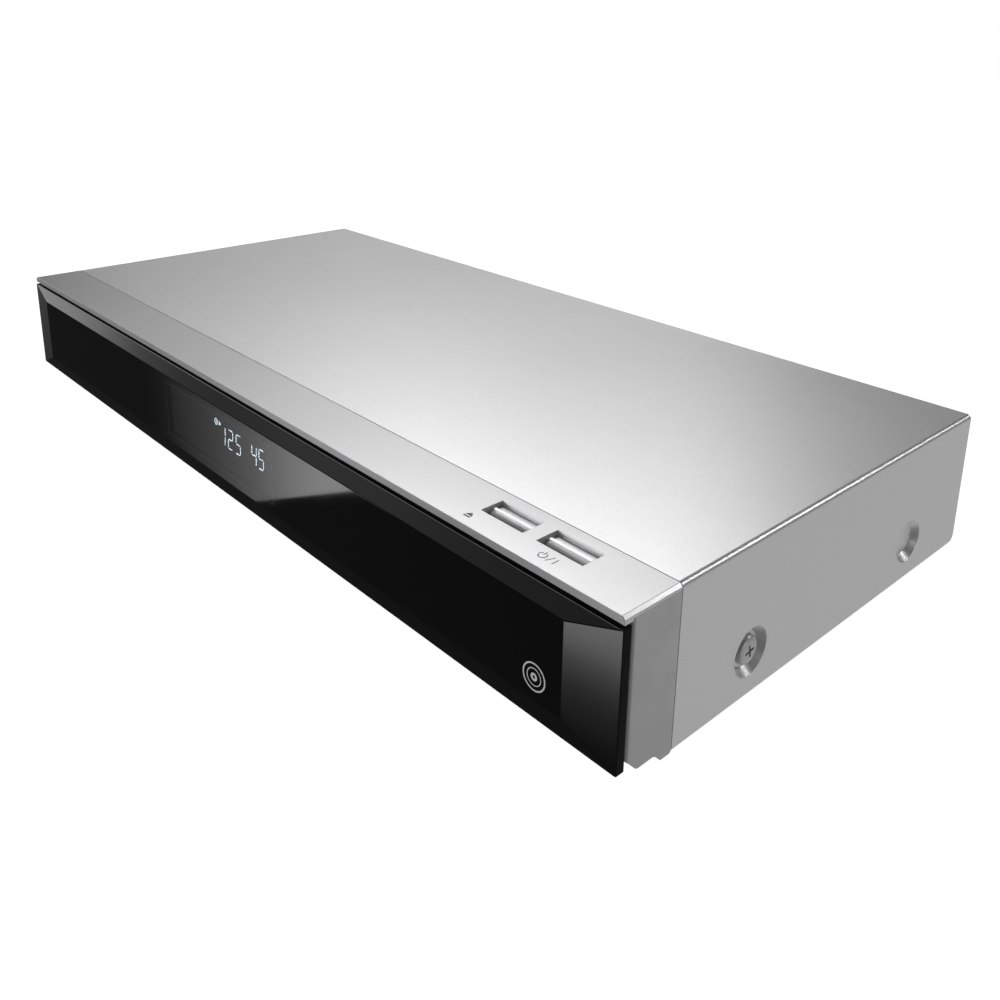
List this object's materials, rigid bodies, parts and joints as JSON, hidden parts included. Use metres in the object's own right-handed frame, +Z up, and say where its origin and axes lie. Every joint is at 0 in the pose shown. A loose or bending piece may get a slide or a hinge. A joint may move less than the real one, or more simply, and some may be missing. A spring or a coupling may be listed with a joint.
{
  "type": "disc and hard-disk video recorder",
  "caption": "Slim full-width silver video recorder with a gloss black flip-down front door, a motor-driven disc tray, top buttons and rear aerial sockets.",
  "frame": {"origin": "on the floor under the middle of the recorder's box", "axes": "+X to the recorder's left as it faces the viewer's right, along the width; +Y from the front door to the rear panel; +Z up"},
  "size_m": [0.43, 0.2142, 0.059],
  "materials": {
    "silver_paint": "satin silver paint, very fine metallic grain",
    "silver_plastic": "satin silver painted moulding",
    "zinc_steel": "zinc plated sheet steel",
    "bright_steel": "bright tinned steel",
    "screw_nickel": "nickel plated",
    "magnet_grey": "sintered magnet",
    "cast_zinc": "die cast, matte",
    "black_plastic": "fine matte black",
    "door_gloss_black": "polished smoked black acrylic",
    "foot_rubber": "matte rubber",
    "display_glass": "dark display tube",
    "lens_glass": "clear blue coated lens",
    "board_green": "solder-masked circuit board",
    "board_tan": "paper circuit board",
    "chip_black": "moulded components",
    "parts_mixed": "wound and moulded power components",
    "white_gear": "natural acetal",
    "cable_white": "flat flexible cable"
  },
  "bodies": {
    "case": {"top_cover": "silver_paint", "chassis_base": "zinc_steel", "rear_panel": "zinc_steel", "front_frame": "silver_plastic", "top_strip": "silver_plastic", "sub_panel": "black_plastic", "feet": "black_plastic", "foot_pads": "foot_rubber", "cover_side_screws": "screw_nickel", "cover_rear_screws": "screw_nickel", "hinge_pins": "screw_nickel", "door_magnets": "magnet_grey", "display_holder": "black_plastic", "display_glass": "display_glass", "display_board": "board_green", "ir_receiver": "black_plastic", "button_holder": "black_plastic", "button_board": "board_green", "tact_switches": "chip_black", "front_board": "board_green", "card_slot": "bright_steel", "front_usb_socket": "bright_steel", "ci_slot_cage": "bright_steel", "drive_base": "black_plastic", "drive_bridge": "zinc_steel", "disc_clamp": "black_plastic", "drive_board": "board_green", "loading_motor": "bright_steel", "hdd_case": "cast_zinc", "hdd_lid": "bright_steel", "hdd_bracket": "zinc_steel", "main_board": "board_green", "main_board_chips": "chip_black", "rear_sockets": "bright_steel", "tuner_module": "bright_steel", "power_board": "board_tan", "power_parts": "parts_mixed", "mains_inlet": "black_plastic", "fan_frame": "black_plastic", "board_screws": "screw_nickel", "internal_cables": "cable_white"},
    "door": {"door_panel": "door_gloss_black", "door_inner_frame": "black_plastic", "door_catch_plates": "screw_nickel"},
    "eject": {"eject_button": "silver_plastic"},
    "power": {"power_button": "silver_plastic"},
    "tray": {"disc_tray": "black_plastic"},
    "pinion": {"motor_pinion": "white_gear"},
    "gear": {"loading_gear": "white_gear"},
    "deck": {"laser_deck": "zinc_steel", "guide_rods": "screw_nickel", "spindle_motor": "bright_steel", "sled_motor": "bright_steel"},
    "spindle": {"turntable": "black_plastic"},
    "screw": {"lead_screw": "screw_nickel"},
    "sled": {"pickup_sled": "cast_zinc", "pickup_lens": "lens_glass"},
    "platters": {"hdd_platters": "screw_nickel"},
    "arm": {"hdd_arm": "cast_zinc"},
    "fan": {"fan_rotor": "black_plastic"}
  },
  "joints": [
    {"name": "door_flip", "type": "hinge", "parent": "case", "child": "door", "pos_m": [0, -0.1005, 0.011], "axis": [1, 0, 0], "range_deg": [0, 90]},
    {"name": "tray_slide", "type": "slide", "parent": "case", "child": "tray", "axis": [0, -1, 0], "range_m": [0, 0.1451]},
    {"name": "loading_gear_spin", "type": "hinge", "parent": "case", "child": "gear", "pos_m": [-0.05, -0.0569, 0.046], "axis": [0, 0, -1], "range_deg": [0, 1039]},
    {"name": "motor_pinion_spin", "type": "hinge", "parent": "case", "child": "pinion", "pos_m": [-0.0692, -0.0569, 0.044], "axis": [0, 0, 1], "range_deg": [0, 3116.5]},
    {"name": "deck_lift", "type": "hinge", "parent": "case", "child": "deck", "pos_m": [-0.096, 0.0711, 0.04], "axis": [-1, 0, 0], "range_deg": [0, 4.5]},
    {"name": "spindle_spin", "type": "hinge", "parent": "deck", "child": "spindle", "pos_m": [-0.096, -0.01476, 0.04127], "axis": [0, -0.0785, 0.9969], "continuous": true},
    {"name": "sled_slide", "type": "slide", "parent": "deck", "child": "sled", "axis": [0, 0.9969, 0.0785], "range_m": [0, 0.032]},
    {"name": "lead_screw_spin", "type": "hinge", "parent": "deck", "child": "screw", "pos_m": [-0.0645, 0.02921, 0.0369], "axis": [0, 0.9969, 0.0785], "range_deg": [0, 3841]},
    {"name": "fan_spin", "type": "hinge", "parent": "case", "child": "fan", "pos_m": [0.044, 0.0911, 0.0355], "axis": [0, 1, 0], "continuous": true},
    {"name": "eject_press", "type": "slide", "parent": "case", "child": "eject", "axis": [0, 0, -1], "range_m": [0, 0.0008], "stiffness_N_per_m": 800},
    {"name": "power_press", "type": "slide", "parent": "case", "child": "power", "axis": [0, 0, -1], "range_m": [0, 0.0008], "stiffness_N_per_m": 800},
    {"name": "platter_spin", "type": "hinge", "parent": "case", "child": "platters", "pos_m": [0.037, -0.0269, 0.038], "axis": [0, 0, 1], "continuous": true},
    {"name": "arm_swing", "type": "hinge", "parent": "case", "child": "arm", "pos_m": [0.07, 0.0431, 0.038], "axis": [0, 0, -1], "range_deg": [0, 32]}
  ],
  "couplings": [
    {"joint": "tray_slide", "follows": "door_flip", "m_per_rad": 0.09231},
    {"joint": "loading_gear_spin", "follows": "door_flip", "ratio": 11.539},
    {"joint": "motor_pinion_spin", "follows": "door_flip", "ratio": 34.616},
    {"joint": "lead_screw_spin", "follows": "sled_slide", "rad_per_m": 2094.4}
  ]
}
